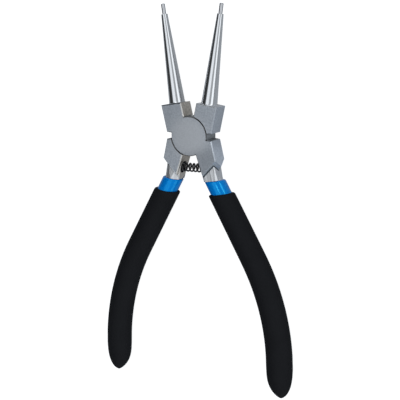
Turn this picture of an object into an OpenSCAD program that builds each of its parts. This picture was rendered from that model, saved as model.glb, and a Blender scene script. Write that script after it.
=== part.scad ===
// Internal circlip pliers with straight tips: two equal forged levers in a lap joint, each with a tapered
// jaw and a dipped handle, opened by a coil spring. The tool lies flat. X is across it, Y runs along it
// towards the tips and Z is its thickness. The origin is on the joint's axis, in the back face of the head.

/* [Head] */
// Width across the head when the jaws are closed
head_width = 26; // [25.5:0.5:30]
// Thickness of the head
head_thickness = 11.3; // [10:0.1:14]
// Radius of the round lap in the joint
lap_radius = 10.9; // [9:0.1:11.4]
// Gap round the lap, in the recess that it turns in
lap_clearance = 0.2; // [0.1:0.05:0.4]
// Gap between the flat faces of the two laps
lap_face_gap = 0.06; // [0.02:0.02:0.2]
// Slope of the stop faces beside the joint, from the cross axis of the closed tool
stop_angle = 21; // [19:1:26]
// Broken edge on the corners of the head
edge_break = 0.5; // [0.5:0.1:0.8]
// Broken edge of the round lap
lap_break = 0.35; // [0.2:0.05:0.45]
// Broken edge at the mouth of the recess
recess_break = 0.25; // [0.1:0.05:0.4]

/* [Rivet] */
// Diameter of the rivet's shank
rivet_d = 7; // [5:0.5:9]
// Diameter of its flush countersunk heads
rivet_head_d = 10; // [8:0.5:13]
// Height of each countersunk head
rivet_head_h = 1.8; // [1:0.1:2.5]
// Running clearance of the rivet in the rear lever, all round
rivet_clearance = 0.04; // [0.02:0.01:0.1]

/* [Jaws] */
// Angle between the levers at rest, from closed
rest_opening = 26; // [16:1:30]
// Gap between the inner faces of the closed jaw blocks
jaw_gap = 1; // [0.4:0.1:3]
// Height of the jaw block above the joint's axis, where the jaw stands on it
jaw_block_h = 19.3; // [16:0.1:26]
// Distance of the jaw's root from the middle line of the closed tool
jaw_offset = 5.8; // [5.5:0.1:7]
// Length of the tapered jaw, from the block to the shoulder of its tip
jaw_length = 48.8; // [30:0.1:70]
// Diameter of the jaw at its root
jaw_root_d = 8.8; // [6:0.1:9.5]
// Radius of the fillet at its root
jaw_fillet = 0.6; // [0.2:0.1:0.7]
// Diameter of the jaw at its shoulder
jaw_end_d = 3.5; // [2.8:0.1:5]
// Gap between the shoulders of the closed jaws
shoulder_gap = 0.4; // [0.2:0.1:2]

/* [Tips] */
// Diameter of the tip pin
tip_d = 2.2; // [1.2:0.1:2.4]
// Length of the pin in front of the shoulder
tip_length = 5.7; // [3:0.1:9]
// Diameter of the pin's shank, which sits in the jaw
tip_shank_d = 1.8; // [0.8:0.1:2]
// Length of the shank inside the jaw
tip_seat = 8; // [4:0.5:12]
// Length of the shank that shows between the shoulder and the pin
tip_relief = 0.3; // [0.2:0.1:0.5]
// Chamfer on the pin's end
tip_chamfer = 0.3; // [0.1:0.1:0.5]

/* [Handles] */
// Gap between the inner faces of the closed handles, beside the lap
handle_gap = 3.4; // [2.6:0.1:5]
// Slope of these inner faces
handle_relief = 6; // [3:0.5:8]
// Drop from the joint's axis to the top corner of the sloped shoulders
shoulder_drop = 15.8; // [14:0.1:17]
// Slope of the shoulders across the handle
shoulder_rake = 33; // [28:1:38]
// Slope of the shoulders through the thickness
shoulder_tilt = 30; // [24:1:36]
// Distance of the neck from the middle line of the closed tool
neck_offset = 6.7; // [6.5:0.1:7.2]
// Width of the neck
neck_width = 8.6; // [8.6:0.1:8.8]
// Step from the flat faces of the head to those of the neck
neck_step = 0.85; // [0.5:0.05:1]
// Diameter to which the neck's corners are rounded at its lower end
neck_round = 10.4; // [10.2:0.1:10.8]
// The same at its upper end, inside the head
neck_round_top = 12.4; // [12:0.1:12.8]
// How far this rounding lies off the middle of the thickness, towards the lap
neck_shift = 0.6; // [0:0.1:0.7]
// Diameter of the tang
tang_d = 8.6; // [8:0.1:8.6]
// Step by which the tang is thinner all round where it is bowed
tang_step = 0.3; // [0.2:0.1:0.8]
// Drop from the joint's axis to the lower end of the inner faces
block_drop = 24.5; // [23:0.1:25]
// Drop from the joint's axis to the elbow below the neck
elbow_drop = 24.8; // [24.6:0.1:25.4]
// Outward slope of the handle below the elbow
flare = 16; // [12:0.5:19]
// Length of the straight part of the handle
straight_length = 50; // [42:1:60]
// Radius of the bowed part
bow_radius = 125; // [100:1:160]
// Angle of the bowed part, up to the point of the grip
bow_angle = 36.6; // [30:0.1:40]

/* [Spring] */
// Drop from the joint's axis to the spring's axis
spring_drop = 18; // [17.4:0.1:18.6]
// Outside diameter of the spring
spring_d = 5.2; // [4.4:0.1:5.6]
// Diameter of its wire
spring_wire = 1; // [0.7:0.05:1.1]
// Number of coils, with the closed coil at each end
spring_coils = 10; // [8:1:11]
// Diameter of the pocket that holds each end
pocket_d = 6.6; // [6.2:0.1:7]
// Depth of this pocket on its axis
pocket_depth = 4; // [2.5:0.1:5]

/* [Grips] */
// Wall of the inner coat
liner_wall = 1.2; // [0.6:0.1:1.3]
// Drop from the joint's axis to the upper edge of the inner coat
liner_drop = 26.6; // [26.6:0.1:29]
// Length of the inner coat that shows above the grip
collar_length = 7.6; // [5:0.1:11]
// Slope of the edges of both coats, from the cross axis of the closed tool
dip_slope = 4.5; // [0:0.5:8]
// Width of the grip at its upper end
grip_width_top = 14.1; // [13.4:0.1:16]
// Width of the grip at its lower end
grip_width_end = 15.4; // [14:0.1:18]
// Thickness of the grip
grip_thickness = 12.8; // [12.6:0.1:15]
// Length over which the grip narrows to its point
nose_length = 24; // [20:0.5:28]
// How long the section stays nearly full along this length
nose_fullness = 4; // [3:0.5:5]
// Sharpness of the pointed end, 0.5 for a round one
nose_sharpness = 0.7; // [0.5:0.05:1]
// Sideways lean of the point, away from the other grip
nose_lean = 1.9; // [0:0.1:3]
// Distance from the point to the end of the tang
core_end = 15; // [13:0.5:20]

/* [Hidden] */
$fn = 64;

steel = "#a7adb5";
bright_steel = "#c4c8cc";
spring_black = "#17181a";
liner_blue = "#0b76d0";
grip_black = "#1d1f22";

// Gap between a coat and what it covers
coat_gap = 0.02;
// How far a cutting solid reaches past what it cuts
reach = 40;
// How far joined solids run into each other
root_overlap = 2;
// Gap between the neck and the edge of the inner coat
neck_gap = 0.1;
// Share of the grip's section that is left at its very point
point_share = 0.02;
// Gap between the closed end coils of the spring, and between its ends and the pockets
coil_gap = 0.03;

half_width = head_width / 2;
half_thickness = head_thickness / 2;
half_opening = rest_opening / 2;

// The jaw leans inwards so that the shoulders all but meet when the tool is closed
jaw_lean = asin((jaw_offset - (jaw_end_d + shoulder_gap) / 2) / jaw_length);

// Path of the tang's axis in the closed tool: neck, elbow, straight and bow
elbow = [neck_offset, -elbow_drop];
straight_end = elbow + straight_length * [sin(flare), -cos(flare)];
bow_centre = straight_end - bow_radius * [cos(flare), sin(flare)];
core_angle = bow_angle - core_end / bow_radius * 180 / PI;
grip_end = straight_length + bow_radius * bow_angle * PI / 180;
grip_drop = liner_drop + collar_length;

// Where the handle's inner face leaves the lap, turned to the open tool, and where the spring's axis meets
// that face
inner_start = [
    handle_gap / 2 * cos(half_opening) + lap_radius * sin(half_opening),
    handle_gap / 2 * sin(half_opening) - lap_radius * cos(half_opening)
];
pocket_mouth = inner_start[0] + (spring_drop + inner_start[1]) * tan(half_opening + handle_relief);
pocket_floor = pocket_mouth + pocket_depth;

// Distance of the handle's inner face from the middle line of the closed tool, at a drop from the joint's
// axis
function inner_face_x(drop) = handle_gap / 2 + (drop - lap_radius) * tan(handle_relief);

// Turns a lever's solid from its own closed frame to its place in the open tool. The rear lever is turned
// over.
module placed(side) {
    translate([0, 0, half_thickness])
        rotate([0, 0, side * half_opening])
            rotate([0, side < 0 ? 180 : 0, 0])
                children();
}

// Prism of a convex outline, as thick as the head, with both edges broken along the numbered sides. The
// outline runs anticlockwise, and each break takes off what lies outside a slanting plane.
module forged_block(outline, broken_sides) {
    difference() {
        translate([0, 0, -half_thickness])
            linear_extrude(head_thickness)
                polygon(outline);
        for (i = broken_sides, face = [-1, 1]) {
            from = outline[i];
            run = outline[(i + 1) % len(outline)] - from;
            translate([from[0], from[1], face * half_thickness])
                rotate([0, 0, atan2(run[1], run[0])])
                    rotate([90 - face * 45, 0, 0])
                        translate([-reach, -reach, -edge_break / sqrt(2)])
                            cube([2 * reach, 2 * reach, reach]);
        }
    }
}

module jaw_block() {
    inner_x = -jaw_gap / 2;
    root_y = lap_radius / 2 * tan(stop_angle);
    difference() {
        forged_block([
            [-lap_radius / 2, root_y],
            [inner_x, root_y],
            [inner_x, jaw_block_h - (jaw_offset + inner_x) * tan(jaw_lean)],
            [-half_width, jaw_block_h + (half_width - jaw_offset) * tan(jaw_lean)],
            [-half_width, half_width * tan(stop_angle)]
        ], [1, 2, 3, 4]);
        lap_recess();
    }
}

module handle_block() {
    root_drop = lap_radius / 2 * tan(stop_angle);
    difference() {
        forged_block([
            [inner_face_x(root_drop), -root_drop],
            [inner_face_x(block_drop), -block_drop],
            [half_width, -block_drop],
            [half_width, -half_width * tan(stop_angle)],
            [lap_radius / 2, -root_drop]
        ], [0, 2, 3]);
        for (face = [-1, 1])
            shoulder_cut(face);
        lap_recess();
    }
}

// Everything below one of the two sloped shoulders
module shoulder_cut(face) {
    translate([half_width, -shoulder_drop, face * half_thickness])
        rotate([0, 0, shoulder_rake])
            rotate([-face * shoulder_tilt, 0, 0])
                translate([-reach, -reach, -reach])
                    cube([2 * reach, reach, 2 * reach]);
}

// Round lap on the front half of the lever
module lap() {
    rotate_extrude()
        polygon([
            [0, lap_face_gap / 2],
            [lap_radius, lap_face_gap / 2],
            [lap_radius, half_thickness - lap_break],
            [lap_radius - lap_break, half_thickness],
            [0, half_thickness]
        ]);
}

// Room for the other lever's lap, with a broken edge at its mouth
module lap_recess() {
    radius = lap_radius + lap_clearance;
    rotate_extrude()
        polygon([
            [0, lap_face_gap / 2],
            [radius, lap_face_gap / 2],
            [radius, recess_break - half_thickness],
            [radius + recess_break, -half_thickness],
            [radius + recess_break, -half_thickness - recess_break],
            [0, -half_thickness - recess_break]
        ]);
}

// Places a solid of revolution on the jaw's axis, with its start on the block
module on_jaw() {
    translate([-jaw_offset, jaw_block_h, 0])
        rotate([0, 0, -jaw_lean])
            rotate([-90, 0, 0])
                children();
}

// Tapered jaw with a fillet at its root
module jaw() {
    fillet_steps = 5;
    foot = jaw_root_d / 2 + jaw_fillet;
    fillet = [
        for (i = [0 : fillet_steps])
            [foot - jaw_fillet * sin(90 * i / fillet_steps), jaw_fillet * (1 - cos(90 * i / fillet_steps))]
    ];
    on_jaw()
        rotate_extrude()
            polygon(concat(
                [[0, -root_overlap], [foot, -root_overlap]],
                fillet,
                [[jaw_end_d / 2, jaw_length], [0, jaw_length]]
            ));
}

// Round bar along the straight and the bowed part of the handle: the tang, made larger all round and at its
// end by a cover. Its upper end can run on past the elbow by a lead.
module handle_bar(cover, lead) {
    d = tang_d + 2 * cover;
    end_angle = core_angle + cover / bow_radius * 180 / PI;
    overlap_angle = root_overlap / bow_radius * 180 / PI;
    translate([elbow[0], elbow[1], 0])
        rotate([0, 0, flare])
            translate([0, lead, 0])
                rotate([90, 0, 0])
                    cylinder(d = d, h = straight_length + lead);
    translate([bow_centre[0], bow_centre[1], 0])
        rotate([0, 0, flare - end_angle])
            rotate_extrude(angle = end_angle + overlap_angle)
                translate([bow_radius, 0])
                    circle(d = d - 2 * tang_step);
}

// Neck between the shoulders and the inner coat: flat on four sides, with its corners rounded
module neck() {
    thickness = head_thickness - 2 * neck_step;
    bottom = liner_drop + root_overlap;
    length = bottom - lap_radius - root_overlap;
    intersection() {
        translate([neck_offset - neck_width / 2, -bottom, -thickness / 2])
            cube([neck_width, length, thickness]);
        translate([neck_offset, -bottom, neck_shift])
            rotate([-90, 0, 0])
                cylinder(d1 = neck_round, d2 = neck_round_top, h = length);
        above_dip(liner_drop - neck_gap);
    }
}

// Profile of the flush rivet, made larger all round by a clearance
module rivet_form(clearance) {
    shank = rivet_d / 2 + clearance;
    head = rivet_head_d / 2 + clearance;
    rotate_extrude()
        polygon([
            [0, -half_thickness],
            [head, -half_thickness],
            [shank, rivet_head_h - half_thickness],
            [shank, half_thickness - rivet_head_h],
            [head, half_thickness],
            [0, half_thickness]
        ]);
}

// Blind pocket for the spring's end, in line with the other one when the tool is at rest
module spring_pocket() {
    rotate([0, 0, -half_opening])
        translate([pocket_floor, -spring_drop, 0])
            rotate([0, -90, 0])
                cylinder(d = pocket_d, h = pocket_floor);
}

// One forged lever in its own frame: left jaw, front half of the lap, right handle
module lever(rivet_gap) {
    difference() {
        union() {
            lap();
            jaw_block();
            jaw();
            handle_block();
            neck();
            handle_bar(0, 0);
        }
        rivet_form(rivet_gap);
        spring_pocket();
        on_jaw()
            translate([0, 0, jaw_length - tip_seat])
                cylinder(d = tip_shank_d, h = tip_seat + root_overlap);
    }
}

module tip() {
    on_jaw()
        translate([0, 0, jaw_length - tip_seat])
            rotate_extrude()
                polygon([
                    [0, 0],
                    [tip_shank_d / 2, 0],
                    [tip_shank_d / 2, tip_seat + tip_relief],
                    [tip_d / 2, tip_seat + tip_relief],
                    [tip_d / 2, tip_seat + tip_length - tip_chamfer],
                    [tip_d / 2 - tip_chamfer, tip_seat + tip_length],
                    [0, tip_seat + tip_length]
                ]);
}

// Everything above the edge of a dipped coat
module above_dip(drop) {
    translate([neck_offset, -drop, 0])
        rotate([0, 0, -dip_slope])
            translate([-reach, 0, -reach])
                cube([2 * reach, reach, 2 * reach]);
}

module liner() {
    difference() {
        handle_bar(liner_wall, 2 * root_overlap);
        handle_bar(coat_gap, 3 * root_overlap);
        above_dip(liner_drop);
    }
}

// Outward heading and point of the handle's axis, at a distance from the elbow
function heading(s) = s < straight_length ? flare : flare - (s - straight_length) / bow_radius * 180 / PI;
function axis_point(s) =
    s < straight_length
        ? elbow + s * [sin(flare), -cos(flare)]
        : bow_centre + bow_radius * [cos(heading(s)), sin(heading(s))];

// How far into the pointed end a place on the axis lies, from 0 to 1, and the share of the section that is
// left there
function nose_share(s) = max(0, (s - grip_end + nose_length) / nose_length);
function nose_scale(s) = max(point_share, pow(max(0, 1 - pow(nose_share(s), nose_fullness)), nose_sharpness));

// Oval section of the grip at a distance along the axis
function grip_ring(s, sides) =
    let (
        out = [cos(heading(s)), sin(heading(s))],
        middle = axis_point(s) + nose_lean * pow(nose_share(s), nose_fullness) * out,
        width = grip_width_top + (grip_width_end - grip_width_top) * s / grip_end
    )
    [
        for (i = [0 : sides - 1])
            let (
                across = width / 2 * nose_scale(s) * cos(360 * i / sides),
                up = grip_thickness / 2 * nose_scale(s) * sin(360 * i / sides)
            )
            [middle[0] + across * out[0], middle[1] + across * out[1], up]
    ];

// Solid through a row of rings that have the same number of points
module loft(rings) {
    sides = len(rings[0]);
    last = len(rings) - 1;
    points = [for (ring = rings) each ring];
    walls = [
        for (r = [0 : last - 1], i = [0 : sides - 1])
            let (j = (i + 1) % sides)
            each [
                [r * sides + i, r * sides + j, (r + 1) * sides + j],
                [r * sides + i, (r + 1) * sides + j, (r + 1) * sides + i]
            ]
    ];
    first_cap = [for (i = [sides - 1 : -1 : 0]) i];
    last_cap = [for (i = [0 : sides - 1]) last * sides + i];
    polyhedron(points, concat([first_cap], walls, [last_cap]), convexity = 6);
}

module grip() {
    sides = 32;
    slant = grip_width_top / 2 * tan(flare + dip_slope);
    top = (grip_drop - elbow_drop) / cos(flare) - slant - root_overlap;
    nose_start = grip_end - nose_length;
    straight_rings = 4;
    bow_rings = 9;
    nose_shares = [0, 0.3, 0.48, 0.62, 0.73, 0.82, 0.89, 0.95, 0.985, 1];
    stations = concat(
        [for (i = [0 : straight_rings - 1]) top + (straight_length - top) * i / straight_rings],
        [for (i = [0 : bow_rings - 1]) straight_length + (nose_start - straight_length) * i / bow_rings],
        [for (share = nose_shares) nose_start + nose_length * share]
    );
    difference() {
        loft([for (s = stations) grip_ring(s, sides)]);
        handle_bar(liner_wall + coat_gap, 0);
        above_dip(grip_drop);
    }
}

// Distance of the spring's wire from its left end after a number of turns: the first and last coils are
// closed
function spring_advance(turn, length) =
    let (
        closed_pitch = spring_wire + coil_gap,
        open_pitch = (length - 2 * closed_pitch) / (spring_coils - 2)
    )
    turn < 1 ? turn * closed_pitch
    : turn < spring_coils - 1 ? closed_pitch + (turn - 1) * open_pitch
    : length - (spring_coils - turn) * closed_pitch;

module spring_coil() {
    steps = 14;
    sides = 8;
    coil_radius = (spring_d - spring_wire) / 2;
    start = spring_wire / 2 + coil_gap - pocket_floor;
    rings = [
        for (k = [0 : steps * spring_coils])
            let (
                turn = k / steps,
                along = start + spring_advance(turn, -2 * start),
                around = 360 * turn
            )
            [
                for (i = [0 : sides - 1])
                    let (
                        radius = coil_radius + spring_wire / 2 * cos(360 * i / sides),
                        shift = spring_wire / 2 * sin(360 * i / sides)
                    )
                    [along - shift, radius * cos(around), radius * sin(around)]
            ]
    ];
    translate([0, -spring_drop, half_thickness])
        loft(rings);
}

module front_lever() {
    color(steel)
        placed(1)
            lever(0);
}

module rear_lever() {
    color(steel)
        placed(-1)
            lever(rivet_clearance);
}

module pivot_rivet() {
    color(steel)
        placed(1)
            rivet_form(0);
}

module front_tip() {
    color(bright_steel)
        placed(1)
            tip();
}

module rear_tip() {
    color(bright_steel)
        placed(-1)
            tip();
}

module return_spring() {
    color(spring_black)
        spring_coil();
}

module front_liner() {
    color(liner_blue)
        placed(1)
            liner();
}

module rear_liner() {
    color(liner_blue)
        placed(-1)
            liner();
}

module front_grip() {
    color(grip_black)
        placed(1)
            grip();
}

module rear_grip() {
    color(grip_black)
        placed(-1)
            grip();
}

front_lever();
rear_lever();
pivot_rivet();
front_tip();
rear_tip();
return_spring();
front_liner();
rear_liner();
front_grip();
rear_grip();
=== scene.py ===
import math
from types import SimpleNamespace

import bmesh
import bpy
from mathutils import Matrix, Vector


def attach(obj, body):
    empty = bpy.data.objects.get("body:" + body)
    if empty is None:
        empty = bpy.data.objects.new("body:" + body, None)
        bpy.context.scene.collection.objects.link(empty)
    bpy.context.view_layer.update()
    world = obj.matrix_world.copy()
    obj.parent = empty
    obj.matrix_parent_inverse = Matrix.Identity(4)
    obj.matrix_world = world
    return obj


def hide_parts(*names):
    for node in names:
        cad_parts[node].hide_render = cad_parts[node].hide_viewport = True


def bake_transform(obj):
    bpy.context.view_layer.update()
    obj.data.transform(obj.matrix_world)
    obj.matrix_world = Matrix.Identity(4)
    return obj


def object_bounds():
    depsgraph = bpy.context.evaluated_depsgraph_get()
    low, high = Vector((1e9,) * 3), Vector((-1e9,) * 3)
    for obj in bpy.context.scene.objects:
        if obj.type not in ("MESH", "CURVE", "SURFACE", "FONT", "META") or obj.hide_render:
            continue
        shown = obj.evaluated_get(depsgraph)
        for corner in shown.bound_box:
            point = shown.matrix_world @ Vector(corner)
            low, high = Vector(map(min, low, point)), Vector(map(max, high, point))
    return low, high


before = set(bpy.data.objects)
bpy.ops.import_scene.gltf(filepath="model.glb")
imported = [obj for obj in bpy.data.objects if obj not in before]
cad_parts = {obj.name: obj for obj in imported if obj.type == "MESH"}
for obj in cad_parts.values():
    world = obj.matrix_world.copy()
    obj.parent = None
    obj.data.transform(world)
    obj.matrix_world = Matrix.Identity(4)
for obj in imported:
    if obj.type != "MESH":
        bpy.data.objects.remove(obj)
cad_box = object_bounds()

MM = 0.001

# Dimensions of the solids, in millimetres, as in the part's source
HALF_THICKNESS = 5.65
HALF_OPENING = math.radians(13)
LAP_RADIUS = 10.9
JAW_ROOT = Vector((-5.8, 19.3, 0))
JAW_LEAN = math.radians(4.525)
SHOULDER_CORNER = Vector((13, -15.8, HALF_THICKNESS))
SHOULDER_RAKE = math.radians(33)
SHOULDER_TILT = math.radians(30)
ELBOW = Vector((6.7, -24.8))
FLARE = math.radians(16)
STRAIGHT = 50
BOW_RADIUS = 125
BOW_ANGLE = math.radians(36.6)
TANG_RADIUS = 4.3
TANG_STEP = 0.3
LINER_WALL = 1.2
COAT_GAP = 0.02
LINER_DROP = 26.6
GRIP_DROP = 34.2
DIP_SLOPE = math.radians(4.5)
GRIP_WIDTH_TOP = 14.1
GRIP_WIDTH_END = 15.4
GRIP_THICKNESS = 12.8
NOSE_LENGTH = 24
NOSE_FULLNESS = 4
NOSE_SHARPNESS = 0.7
NOSE_LEAN = 1.9
CORE_END = 15
SPRING_DROP = 18
SPRING_D = 5.2
SPRING_WIRE = 1
SPRING_COILS = 10
SPRING_END = 10.78
COIL_GAP = 0.03

GRIP_END = STRAIGHT + BOW_RADIUS * BOW_ANGLE
CORE_REACH = GRIP_END - CORE_END
BOW_CENTRE = ELBOW + STRAIGHT * Vector((math.sin(FLARE), -math.cos(FLARE))) \
    - BOW_RADIUS * Vector((math.cos(FLARE), math.sin(FLARE)))

# Height of the rounded upper edge of each coat, and how finely the coats and the spring are divided
LINER_LIP = 0.6
GRIP_LIP = 0.9
LIP_STEPS = 6
AROUND = 56
BORE_BOW_STEPS = 12
GRIP_BOW_STEPS = 16
COIL_STEPS = 40
WIRE_SIDES = 12

# Colours of the steel: satin faces, brownish inner faces, walls of the lap darkened with painted shade, jaw,
# neck, the shoulder above the neck with a painted light bluish sheen, and painted shade in its crease. Greys
# of the painted shade in the lap's mouth and groove, from low to high on the tool
SATIN = ((0.385, 0.425, 0.475, 1), (0.525, 0.565, 0.62, 1))
SATIN_GRAIN = (0.61, 0.635, 0.67, 1)
SATIN_JOINT = (0.7, 0.72, 0.75, 1)
INNER = ((0.57, 0.54, 0.49, 1), (0.79, 0.75, 0.69, 1))
RECESS_SHADE = ((0.24, 0.26, 0.27, 1), (0.5, 0.52, 0.54, 1))
JAW = (0.66, 0.675, 0.695, 1)
NECK = (0.69, 0.705, 0.725, 1)
SHOULDER_SHEEN = (0.5, 0.545, 0.58, 1)
CREASE_SHADE = (0.08, 0.1, 0.12, 1)
MOUTH_SHADE = (0.1, 0.4)
GROOVE_SHADE = (0.06, 0.22)

# Roughness of the satin, what the inner faces, the lap's walls and the shoulder add to it, and its factors on
# neck and jaw
SATIN_ROUGH = (0.3, 0.38)
WALL_ROUGH = 0.12
SHOULDER_ROUGH = 0.2
NECK_ROUGH = 1.3
JAW_ROUGH = 0.3

# Stretch of the grain along a lever, and height of the drawing marks on the neck against the satin's mottle
GRAIN_STRETCH = (1, 0.12, 1)
DRAWN_HEIGHT = 30.0

# Painted light and shade on the two forgings: painted light on the sides of the jaw block and painted shade
# on its broken edges, painted light on the sides of the handle block, and what differs between the two
# levers: on the front of the handle block painted shade on the front lever and painted light on the rear one,
# painted shade on the rear lever's broken handle edges, and the top of the jaw block
JAW_SIDE_LIGHT = 1.12
JAW_BEVEL_SHADE = 0.62
HANDLE_SIDE_LIGHT = 1.45
FRONT_SHADING = {"handle_front_shading": 0.78, "handle_bevel_shade": 1.0, "block_top_shading": (0.26, 0.28, 0.3, 1)}
REAR_SHADING = {"handle_front_shading": 1.1, "handle_bevel_shade": 0.6, "block_top_shading": (0.9, 0.92, 0.95, 1)}

# Brightness of the studio by the angle round the tool's long axis, in degrees from its right side: a soft
# strip on the right, a broad one overhead and a dark left side
STUDIO = [
    (-180, 0.03), (-20, 0.12), (0, 0.2), (10, 0.24), (15, 0.9), (40, 0.95),
    (44, 0.32), (71, 0.32), (75, 0.78), (111, 0.78), (122, 0.04), (180, 0.03),
]
STUDIO_TINT = (0.97, 1.0, 1.03)
STUDIO_STRENGTH = 1.5

# Two small softboxes, which the glossy coats show as streaks: angle round the tool and half the width, in
# degrees, sine of the angle along the tool and half the length, and brightness. SOFT_EDGE is the share of
# each half over which they fade
SOFTBOXES = [(80, 4.5, 0.32, 0.08, 3.0), (28, 6, 0.59, 0.085, 3.0)]
SOFT_EDGE = 0.3

# Floor: its own colour, how white the camera sees it, the share of this white in reflections, and half the
# width, in metres
FLOOR_COLOUR = (0.28, 0.3, 0.325, 1)
FLOOR_WHITE = 0.92
FLOOR_REFLECTED = 0.21
FLOOR_HALF = 3.0

CAMERA_PLACE = (0.2678, 0.0704, 0.4969)
CAMERA_TURN = [math.radians(angle) for angle in (-11.157, 28.145, -0.747)]
CAMERA_LENS = 91.9
CAMERA_SENSOR = 36
CAMERA_NEAR = 0.01


def placed(point, side):
    """A point of a lever's own closed frame, in millimetres, in the open tool, in metres."""
    x, y, z = side * point[0], point[1], side * point[2]
    turn = side * HALF_OPENING
    return Vector((
        (x * math.cos(turn) - y * math.sin(turn)) * MM,
        (x * math.sin(turn) + y * math.cos(turn)) * MM,
        (z + HALF_THICKNESS) * MM,
    ))


def heading(s):
    """Outward heading of the handle's axis, at a distance from the elbow."""
    return FLARE if s < STRAIGHT else FLARE - (s - STRAIGHT) / BOW_RADIUS


def axis_point(s):
    """Point of the handle's axis: straight from the elbow, then bowed inwards."""
    if s < STRAIGHT:
        return ELBOW + s * Vector((math.sin(FLARE), -math.cos(FLARE)))
    return BOW_CENTRE + BOW_RADIUS * Vector((math.cos(heading(s)), math.sin(heading(s))))


def section_point(s, across, up, lean=0):
    """A point of a section across the handle's axis."""
    out = Vector((math.cos(heading(s)), math.sin(heading(s))))
    middle = axis_point(s) + (across + lean) * out
    return Vector((middle[0], middle[1], up))


def dip_start(drop, across):
    """Distance along the axis at which a coat's sloped edge meets a line beside the axis."""
    normal = Vector((math.sin(DIP_SLOPE), math.cos(DIP_SLOPE)))
    along = Vector((math.sin(FLARE), -math.cos(FLARE)))
    out = Vector((math.cos(FLARE), math.sin(FLARE)))
    edge = Vector((ELBOW[0], -drop))
    return (edge - ELBOW - across * out).dot(normal) / along.dot(normal)


def mesh_piece(name, rings, poles, material):
    """A closed mesh through rings of equal length, with a pole at each end."""
    bm = bmesh.new()
    rows = [[bm.verts.new(p) for p in ring] for ring in rings]
    for low, high in zip(rows, rows[1:]):
        for i, v in enumerate(low):
            j = (i + 1) % len(low)
            bm.faces.new((v, low[j], high[j], high[i]))
    for pole, ring in zip(poles, (rows[0], rows[-1])):
        tip = bm.verts.new(pole)
        for i, v in enumerate(ring):
            bm.faces.new((v, ring[(i + 1) % len(ring)], tip))
    bmesh.ops.recalc_face_normals(bm, faces=bm.faces)
    for face in bm.faces:
        face.smooth = True
    mesh = bpy.data.meshes.new(name)
    bm.to_mesh(mesh)
    bm.free()
    mesh.materials.append(material)
    piece = bpy.data.objects.new(name, mesh)
    bpy.context.scene.collection.objects.link(piece)
    return piece


def bore_radius(s, cover):
    """Outside of the tang and its covers: a little thinner where the handle is bowed."""
    return TANG_RADIUS + cover - (TANG_STEP if s > STRAIGHT else 0)


def bore_stations(end):
    """Places of the rings along a bore: the straight part, the step after it and the bowed part."""
    straight = [STRAIGHT * quarter / 4 for quarter in (1, 2, 3, 4)]
    past_step = STRAIGHT + 0.02
    bow = [STRAIGHT + (end - STRAIGHT) * i / BORE_BOW_STEPS for i in range(1, BORE_BOW_STEPS + 1)]
    return straight + [past_step] + bow


def angles():
    return [2 * math.pi * i / AROUND for i in range(AROUND)]


def lip_rings(drop, half_width, half_height, inner, lip_height):
    """Rounded upper edge of a dipped coat, from its outside to its bore."""
    rings = []
    for k in range(LIP_STEPS + 1):
        psi = math.pi / 2 * k / LIP_STEPS
        ring = []
        for a in angles():
            across = (inner + (half_width - inner) * math.cos(psi)) * math.cos(a)
            up = (inner + (half_height - inner) * math.cos(psi)) * math.sin(a)
            s = dip_start(drop, across) + lip_height * (1 - math.sin(psi))
            ring.append(section_point(s, across, up))
        rings.append(ring)
    return rings


def round_ring(s, radius):
    return [section_point(s, radius * math.cos(a), radius * math.sin(a)) for a in angles()]


def grip_width(s):
    return GRIP_WIDTH_TOP + (GRIP_WIDTH_END - GRIP_WIDTH_TOP) * s / GRIP_END


def grip_ring(s):
    """Oval section of the grip, which narrows towards its point."""
    share = max(0, (s - GRIP_END + NOSE_LENGTH) / NOSE_LENGTH)
    scale = max(0, 1 - share ** NOSE_FULLNESS) ** NOSE_SHARPNESS
    half_width = grip_width(s) / 2 * scale
    half_height = GRIP_THICKNESS / 2 * scale
    lean = NOSE_LEAN * share ** NOSE_FULLNESS
    return [section_point(s, half_width * math.cos(a), half_height * math.sin(a), lean) for a in angles()]


def coat(name, side, outer, lip, cover, end, end_pole, material):
    """A dipped coat: outside from its closed end up to the lip, then the bore down again."""
    rings = list(outer) + lip
    for s in bore_stations(end):
        rings.append(round_ring(s, bore_radius(s, cover)))
    poles = [end_pole, section_point(end, 0, 0)]
    return mesh_piece(
        name,
        [[placed(p, side) for p in ring] for ring in rings],
        [placed(p, side) for p in poles],
        material,
    )


def make_liner(name, side, material):
    """Blue inner coat: round, with an even wall."""
    end = CORE_REACH + LINER_WALL
    below_lip = [12, 25, 37]
    from_straight_end = bore_stations(end)[3:]
    stations = reversed(below_lip + from_straight_end)
    outer = [round_ring(s, bore_radius(s, LINER_WALL)) for s in stations]
    outside = TANG_RADIUS + LINER_WALL
    lip = lip_rings(LINER_DROP, outside, outside, TANG_RADIUS + COAT_GAP, LINER_LIP)
    end_pole = section_point(end, 0, 0)
    return coat(name, side, outer, lip, COAT_GAP, CORE_REACH + COAT_GAP, end_pole, material)


def make_grip(name, side, material):
    """Black outer grip: oval, with a long nose."""
    shares = [0.997, 0.988, 0.97, 0.945, 0.91, 0.87, 0.82, 0.76, 0.69, 0.6, 0.48, 0.3, 0]
    nose = [GRIP_END - NOSE_LENGTH * (1 - share) for share in shares]
    nose_start = GRIP_END - NOSE_LENGTH
    bow = [nose_start + (STRAIGHT - nose_start) * i / GRIP_BOW_STEPS for i in range(1, GRIP_BOW_STEPS + 1)]
    straight = [STRAIGHT * share for share in (0.83, 0.66, 0.49, 0.32)]
    outer = [grip_ring(s) for s in nose + bow + straight]
    lip_place = 10
    cover = LINER_WALL + COAT_GAP
    lip = lip_rings(GRIP_DROP, grip_width(lip_place) / 2, GRIP_THICKNESS / 2, TANG_RADIUS + cover, GRIP_LIP)
    end_pole = section_point(GRIP_END, NOSE_LEAN, 0)
    return coat(name, side, outer, lip, cover, CORE_REACH + cover, end_pole, material)


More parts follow.
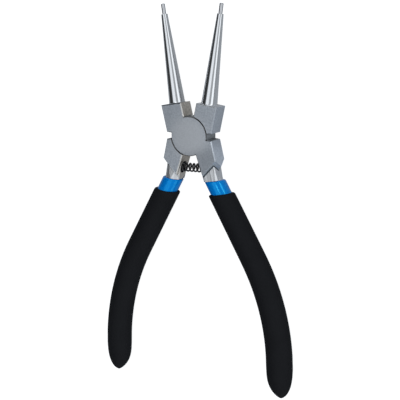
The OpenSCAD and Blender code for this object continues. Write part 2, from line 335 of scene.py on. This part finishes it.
def spring_advance(turn, length):
    """Distance of the wire from its start: the first and last coils are closed."""
    closed = SPRING_WIRE + COIL_GAP
    pitch = (length - 2 * closed) / (SPRING_COILS - 2)
    if turn < 1:
        return turn * closed
    if turn < SPRING_COILS - 1:
        return closed + (turn - 1) * pitch
    return length - (SPRING_COILS - turn) * closed


def spring_point(along, radius, around):
    y = radius * math.cos(around) - SPRING_DROP
    z = radius * math.sin(around) + HALF_THICKNESS
    return Vector((along, y, z)) * MM


def make_spring(name, material):
    """Coil spring across the tool, between the pockets of the levers."""
    coil_radius = (SPRING_D - SPRING_WIRE) / 2
    start = SPRING_WIRE / 2 + COIL_GAP - SPRING_END
    rings = []
    middles = []
    for k in range(COIL_STEPS * SPRING_COILS + 1):
        turn = k / COIL_STEPS
        along = start + spring_advance(turn, -2 * start)
        around = 2 * math.pi * turn
        ring = []
        for i in range(WIRE_SIDES):
            a = 2 * math.pi * i / WIRE_SIDES
            radius = coil_radius + SPRING_WIRE / 2 * math.cos(a)
            ring.append(spring_point(along - SPRING_WIRE / 2 * math.sin(a), radius, around))
        rings.append(ring)
        middles.append(spring_point(along, coil_radius, around))
    return mesh_piece(name, rings, (middles[0], middles[-1]), material)


class Nodes:
    """Short ways to add nodes to a node tree."""

    def __init__(self, tree):
        self.tree = tree

    def node(self, kind, values=None, **settings):
        made = self.tree.nodes.new(kind)
        for key, value in settings.items():
            setattr(made, key, value)
        for key, value in (values or {}).items():
            self.put(made.inputs[key], value)
        return made

    def put(self, socket, value):
        if isinstance(value, bpy.types.NodeSocket):
            self.tree.links.new(value, socket)
        else:
            socket.default_value = value

    def math(self, operation, a, b=0.0):
        return self.node("ShaderNodeMath", {0: a, 1: b}, operation=operation).outputs[0]

    def product(self, first, *others):
        for other in others:
            first = self.math("MULTIPLY", first, other)
        return first

    def rest(self, share):
        """What a share leaves of 1."""
        return self.math("SUBTRACT", 1.0, share)

    def absolute(self, value):
        return self.math("ABSOLUTE", value)

    def vector(self, operation, a, b=(0, 0, 0)):
        made = self.node("ShaderNodeVectorMath", {0: a, 1: b}, operation=operation)
        return made.outputs["Value"] if operation in ("DOT_PRODUCT", "LENGTH") else made.outputs["Vector"]

    def split(self, vector):
        return self.node("ShaderNodeSeparateXYZ", {0: vector}).outputs[:3]

    def ramp(self, value, low, high, to_low=0.0, to_high=1.0):
        """Smooth step of a value between two limits."""
        made = self.node(
            "ShaderNodeMapRange",
            {"Value": value, "From Min": low, "From Max": high, "To Min": to_low, "To Max": to_high},
            interpolation_type="SMOOTHSTEP",
        )
        return made.outputs["Result"]

    def mix(self, share, a, b):
        made = self.node("ShaderNodeMix", data_type="RGBA")
        for key, value in ((0, share), (6, a), (7, b)):
            self.put(made.inputs[key], value)
        return made.outputs[2]


class Shader(Nodes):
    """A material with a Principled shader. Its coordinates are in millimetres."""

    def __init__(self, name):
        self.material = bpy.data.materials.new(name)
        self.material.use_nodes = True
        super().__init__(self.material.node_tree)
        self.principled = self.tree.nodes["Principled BSDF"]

    def set(self, **values):
        for key, value in values.items():
            self.put(self.principled.inputs[key.replace("_", " ")], value)

    def coordinates(self):
        metres = self.node("ShaderNodeTexCoord").outputs["Object"]
        return self.vector("MULTIPLY", metres, (1 / MM, 1 / MM, 1 / MM))

    def normal(self):
        return self.node("ShaderNodeTexCoord").outputs["Normal"]

    def noise(self, vector, scale, detail=2.0, roughness=0.5):
        values = {"Vector": vector, "Scale": scale, "Detail": detail, "Roughness": roughness}
        return self.node("ShaderNodeTexNoise", values).outputs["Fac"]

    def bump(self, height, strength, depth):
        made = self.node("ShaderNodeBump", {"Height": height, "Strength": strength, "Distance": depth * MM})
        return made.outputs["Normal"]


def grey(value):
    return (value, value, value, 1)


def own_frame(shader, vector, side):
    """A vector of the open tool, turned to the lever's own closed frame."""
    turned = shader.node(
        "ShaderNodeVectorRotate",
        {"Vector": vector, "Angle": -side * HALF_OPENING},
        rotation_type="Z_AXIS",
    ).outputs["Vector"]
    return shader.vector("MULTIPLY", turned, (side, 1, side))


def lever_places(s, side):
    """Where the tones and the painted light and shade of a lever lie, in its closed frame: each share is 1 in
    its place, 0 elsewhere.
    """
    own = own_frame(s, s.vector("SUBTRACT", s.coordinates(), (0, 0, HALF_THICKNESS)), side)
    normal = own_frame(s, s.normal(), side)
    x, y, z = s.split(own)
    nx, ny, nz = s.split(normal)
    radius = s.vector("LENGTH", s.vector("MULTIPLY", own, (1, 1, 0)))

    # The jaw starts at the end of its block, and the neck below the raked shoulder of the handle block
    jaw_way = Vector((math.sin(JAW_LEAN), math.cos(JAW_LEAN), 0))
    jaw = s.ramp(s.math("SUBTRACT", s.vector("DOT_PRODUCT", own, jaw_way), JAW_ROOT.dot(jaw_way)), 0.0, 0.4)

    shoulder_way = Vector((
        -math.sin(SHOULDER_RAKE) * math.cos(SHOULDER_TILT),
        math.cos(SHOULDER_RAKE) * math.cos(SHOULDER_TILT),
        -math.sin(SHOULDER_TILT),
    ))
    both_sides = s.node("ShaderNodeCombineXYZ", {0: x, 1: y, 2: s.absolute(z)}).outputs[0]
    reach = s.vector("DOT_PRODUCT", both_sides, shoulder_way)
    above = s.math("SUBTRACT", reach, SHOULDER_CORNER.dot(shoulder_way))
    neck = s.ramp(above, -0.05, -0.3)
    both_facings = s.node("ShaderNodeCombineXYZ", {0: nx, 1: ny, 2: s.absolute(nz)}).outputs[0]
    steep = s.ramp(s.vector("DOT_PRODUCT", both_facings, -shoulder_way), 0.93, 0.97)
    shoulder = s.product(steep, s.ramp(above, -0.4, -0.2))
    to_front = s.ramp(z, -1.0, 1.0, 0.3, 1.0)
    # Painted shade: a dark band on the neck's top rim just under the shoulder, stronger towards the front
    # face
    crease_shade = s.product(s.ramp(above, -1.0, -0.7), neck, s.rest(shoulder), to_front)

    # Inner faces look to the tool's middle, and a bevel is between a front face and an upright one
    to_middle = s.product(nx, s.ramp(y, -1.0, 1.0, -1.0, 1.0))
    inner = s.product(s.ramp(to_middle, 0.6, 0.8), s.rest(s.math("MAXIMUM", jaw, neck)))
    upright = s.ramp(s.absolute(nz), 0.55, 0.4)
    bevel = s.product(s.ramp(s.absolute(nz), 0.95, 0.85), s.rest(upright))

    # The lap's groove, the edge of the recess round it, and its walls and stop faces, which take painted
    # shade
    lap_edge = s.product(s.ramp(radius, LAP_RADIUS + 0.1, LAP_RADIUS), bevel)
    mouth = s.product(s.ramp(radius, LAP_RADIUS + 0.6, LAP_RADIUS + 0.5), bevel)
    in_lap = s.ramp(radius, LAP_RADIUS + 0.6, LAP_RADIUS + 0.3)
    in_stop = s.product(s.ramp(s.absolute(ny), 0.75, 0.85), s.ramp(s.absolute(y), 6.5, 6.0))
    recess = s.product(upright, s.math("MAXIMUM", in_lap, in_stop))
    # Top face of the jaw block, which takes painted shade on the front lever and painted light on the rear
    # one
    block_top_shading = s.product(s.ramp(ny, 0.5, 0.65), s.ramp(y, 17.5, 18.5))
    return SimpleNamespace(
        own=own, y=y, radius=radius, jaw=jaw, neck=neck, shoulder=shoulder, crease_shade=crease_shade, inner=inner,
        upright=upright, bevel=bevel, lap_edge=lap_edge, mouth=mouth, recess=recess, block_top_shading=block_top_shading,
    )


def satin_colour(s, at, mottle, grain, shading):
    """Satin faces of the blocks and the lap, lighter near the joint, with painted light on the sides, painted
    shade on the broken edges, and painted light and shade on the handle's front and the block's top.
    """
    satin = s.mix(s.ramp(mottle, 0.3, 0.7), *SATIN)
    satin = s.mix(s.ramp(grain, 0.2, 0.9, 0.0, 0.3), satin, SATIN_GRAIN)
    satin = s.mix(s.ramp(at.radius, 15.5, 6.0, 0.0, 0.52), satin, SATIN_JOINT)
    # Painted light on the upright sides, and on the handle's front painted shade for the front lever and
    # painted light for the rear one
    jaw_shading = s.mix(at.upright, grey(1.0), grey(JAW_SIDE_LIGHT))
    handle_shading = s.mix(at.upright, grey(shading["handle_front_shading"]), grey(HANDLE_SIDE_LIGHT))
    satin = s.vector("MULTIPLY", satin, s.mix(s.ramp(at.y, -5.0, -13.0), jaw_shading, handle_shading))
    # Painted shade on the broken edges of the jaw block and of the rear lever's handle block
    bevel_shade = s.mix(s.ramp(at.y, -1.0, 1.0), grey(shading["handle_bevel_shade"]), grey(JAW_BEVEL_SHADE))
    satin = s.vector("MULTIPLY", satin, s.mix(at.bevel, grey(1.0), bevel_shade))
    # Painted shade on the front lever's block top and painted light on the rear lever's
    return s.mix(at.block_top_shading, satin, shading["block_top_shading"])


def lever_steel(name, side, shading):
    """Satin forged steel, with a polished jaw, a drawn neck, brownish inner faces, painted shade in the lap
    and under the shoulder, and painted light and shade on the blocks and the shoulder band.
    """
    s = Shader(name)
    at = lever_places(s, side)
    lengthwise = s.vector("MULTIPLY", at.own, GRAIN_STRETCH)
    mottle = s.noise(at.own, 1.1, 4.0, 0.65)
    grain = s.noise(lengthwise, 2.6, 2.0, 0.6)

    # Painted shade in the lap's mouth and groove, darker low on the tool
    mouth_shade = s.mix(s.ramp(at.y, -4.0, 0.0), *map(grey, MOUTH_SHADE))
    groove_shade = s.mix(s.ramp(at.y, 7.5, 10.5), *map(grey, GROOVE_SHADE))
    colour = satin_colour(s, at, mottle, grain, shading)
    colour = s.mix(at.inner, colour, s.mix(s.ramp(mottle, 0.3, 0.7), *INNER))
    colour = s.mix(at.mouth, colour, mouth_shade)
    # Painted shade on the lap's walls and stop faces
    colour = s.mix(at.recess, colour, s.mix(mottle, *RECESS_SHADE))
    colour = s.mix(at.lap_edge, colour, groove_shade)
    colour = s.mix(at.neck, colour, NECK)
    # Painted light bluish sheen on the shoulder band
    colour = s.mix(at.shoulder, colour, SHOULDER_SHEEN)
    # Painted shade in the crease under the shoulder
    colour = s.mix(at.crease_shade, colour, CREASE_SHADE)
    colour = s.mix(at.jaw, colour, JAW)

    rougher = s.product(s.math("MAXIMUM", at.inner, at.recess), WALL_ROUGH)
    rough = s.math("ADD", s.ramp(grain, 0.2, 0.8, *SATIN_ROUGH), rougher)
    rough = s.product(rough, s.ramp(at.neck, 0.0, 1.0, 1.0, NECK_ROUGH))
    rough = s.math("ADD", rough, s.product(at.shoulder, SHOULDER_ROUGH))
    rough = s.product(rough, s.ramp(at.jaw, 0.0, 1.0, 1.0, JAW_ROUGH))

    drawn = s.product(s.noise(lengthwise, 0.42, 1.0), at.neck, DRAWN_HEIGHT)
    height = s.math("ADD", s.math("ADD", s.product(grain, 0.35), mottle), drawn)
    s.set(Base_Color=colour, Metallic=1.0, Roughness=rough, Normal=s.bump(height, 0.12, 0.1))
    return s.material


def tip_steel(name):
    """Polished steel with fine streaks along the pin."""
    s = Shader(name)
    streaks = s.noise(s.vector("MULTIPLY", s.coordinates(), (1, 0.1, 1)), 3.5, 2.0)
    s.set(
        Base_Color=s.mix(streaks, (0.5, 0.51, 0.53, 1), (0.62, 0.63, 0.65, 1)),
        Metallic=1.0,
        Roughness=s.ramp(streaks, 0.2, 0.8, 0.04, 0.07),
    )
    return s.material


def spring_black(name):
    """Oiled black spring wire."""
    s = Shader(name)
    spots = s.noise(s.coordinates(), 1.8, 3.0)
    s.set(
        Base_Color=s.mix(spots, (0.008, 0.008, 0.009, 1), (0.022, 0.022, 0.024, 1)),
        Roughness=s.ramp(spots, 0.2, 0.8, 0.32, 0.48),
    )
    return s.material


def blue_dip(name):
    """Glossy blue inner coat."""
    s = Shader(name)
    waves = s.noise(s.coordinates(), 0.18, 2.0)
    s.set(
        Base_Color=s.mix(waves, (0.0, 0.19, 0.64, 1), (0.0, 0.21, 0.7, 1)),
        Roughness=s.ramp(waves, 0.3, 0.7, 0.04, 0.07),
        Specular_IOR_Level=1.0,
        Specular_Tint=(0.08, 0.8, 1, 1),
        Normal=s.bump(waves, 0.1, 0.4),
    )
    return s.material


def black_dip(name):
    """Matt black outer grip."""
    s = Shader(name)
    place = s.coordinates()
    skin = s.noise(place, 2.2, 4.0, 0.65)
    cloud = s.noise(place, 0.09, 2.0)
    s.set(
        Base_Color=s.mix(cloud, (0.0075, 0.008, 0.0096, 1), (0.011, 0.0117, 0.0138, 1)),
        Roughness=s.ramp(skin, 0.2, 0.8, 0.62, 0.8),
        Specular_IOR_Level=0.08,
        Normal=s.bump(skin, 0.25, 0.08),
    )
    return s.material


def background_rays(nodes):
    """Whether a ray shows the background straight on or through glass, and whether it is a reflection."""
    path = nodes.node("ShaderNodeLightPath").outputs
    return nodes.math("MAXIMUM", path["Is Camera Ray"], path["Is Transmission Ray"]), path["Is Glossy Ray"]


def add_softbox(nodes, light, angle, sine, softbox):
    """The studio's light with a bright soft-edged patch."""
    degrees, half_width, along, half_length, value = softbox
    half_angle = math.radians(half_width)
    aside = nodes.absolute(nodes.math("SUBTRACT", angle, math.radians(degrees)))
    ahead = nodes.absolute(nodes.math("SUBTRACT", sine, along))
    across = nodes.ramp(aside, (1 + SOFT_EDGE) * half_angle, (1 - SOFT_EDGE) * half_angle)
    lengthwise = nodes.ramp(ahead, (1 + SOFT_EDGE) * half_length, (1 - SOFT_EDGE) * half_length)
    return nodes.mix(nodes.product(across, lengthwise), light, grey(value))


def make_world():
    """Studio sky in soft strips along the tool, white to the camera."""
    world = bpy.data.worlds.new("studio")
    bpy.context.scene.world = world
    world.use_nodes = True
    nodes = Nodes(world.node_tree)
    x, y, z = nodes.split(nodes.node("ShaderNodeTexCoord").outputs["Generated"])
    angle = nodes.math("ARCTAN2", z, x)
    turn = nodes.node("ShaderNodeMapRange", {"Value": angle, "From Min": -math.pi, "From Max": math.pi})
    strips = nodes.node("ShaderNodeValToRGB", {"Fac": turn.outputs["Result"]})
    stops = strips.color_ramp.elements
    while len(stops) < len(STUDIO):
        stops.new(0.5)
    for stop, (degrees, value) in zip(stops, STUDIO):
        stop.position = (degrees + 180) / 360
        stop.color = [value * tint for tint in STUDIO_TINT] + [1]
    light = strips.outputs["Color"]
    for softbox in SOFTBOXES:
        light = add_softbox(nodes, light, angle, y, softbox)
    seen, _ = background_rays(nodes)
    background = world.node_tree.nodes["Background"]
    nodes.put(background.inputs["Color"], nodes.mix(seen, light, grey(1.0)))
    nodes.put(background.inputs["Strength"], nodes.ramp(seen, 0.0, 1.0, STUDIO_STRENGTH, 1.0))


def make_floor():
    """White floor, at the tool's lowest point, that keeps its shadow."""
    s = Shader("floor_white")
    seen, glossy = background_rays(s)
    white = s.math("ADD", s.product(glossy, FLOOR_REFLECTED), seen)
    s.set(
        Base_Color=FLOOR_COLOUR,
        Roughness=1.0,
        Specular_IOR_Level=0.0,
        Emission_Color=grey(1.0),
        Emission_Strength=s.product(white, FLOOR_WHITE),
    )
    low = cad_box[0][2]
    corners = [(-1, -1), (1, -1), (1, 1), (-1, 1)]
    mesh = bpy.data.meshes.new("floor")
    mesh.from_pydata([(x * FLOOR_HALF, y * FLOOR_HALF, low) for x, y in corners], [], [(0, 1, 2, 3)])
    mesh.materials.append(s.material)
    floor = bpy.data.objects.new("floor", mesh)
    bpy.context.scene.collection.objects.link(floor)


def make_camera():
    data = bpy.data.cameras.new("camera")
    data.sensor_width = CAMERA_SENSOR
    data.lens = CAMERA_LENS
    data.clip_start = CAMERA_NEAR
    camera = bpy.data.objects.new("camera", data)
    camera.location = CAMERA_PLACE
    camera.rotation_euler = CAMERA_TURN
    bpy.context.scene.collection.objects.link(camera)
    bpy.context.scene.camera = camera


def dress(node, material):
    """Give a CAD node its material."""
    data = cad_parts[node].data
    data.materials.clear()
    data.materials.append(material)


bpy.context.scene.view_settings.view_transform = "Standard"
make_camera()
make_world()
make_floor()

front_steel = lever_steel("front_lever_steel", 1, FRONT_SHADING)
rear_steel = lever_steel("rear_lever_steel", -1, REAR_SHADING)
pin_steel = tip_steel("tip_steel")
dress("front_lever", front_steel)
dress("rear_lever", rear_steel)
dress("pivot_rivet", front_steel)
dress("front_tip", pin_steel)
dress("rear_tip", pin_steel)

coats = (
    ("liner", make_liner, blue_dip("blue_dip"), "blue_dip"),
    ("grip", make_grip, black_dip("black_dip"), "black_dip"),
)
for lever, side in (("front", 1), ("rear", -1)):
    for part, make, material, slot in coats:
        skin = make(lever + "_" + part + "_skin", side, material)
        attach(skin, lever + "_body")
        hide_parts(lever + "_" + part)

coil = make_spring("spring_coil", spring_black("spring_black"))
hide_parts("return_spring")
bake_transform(coil)
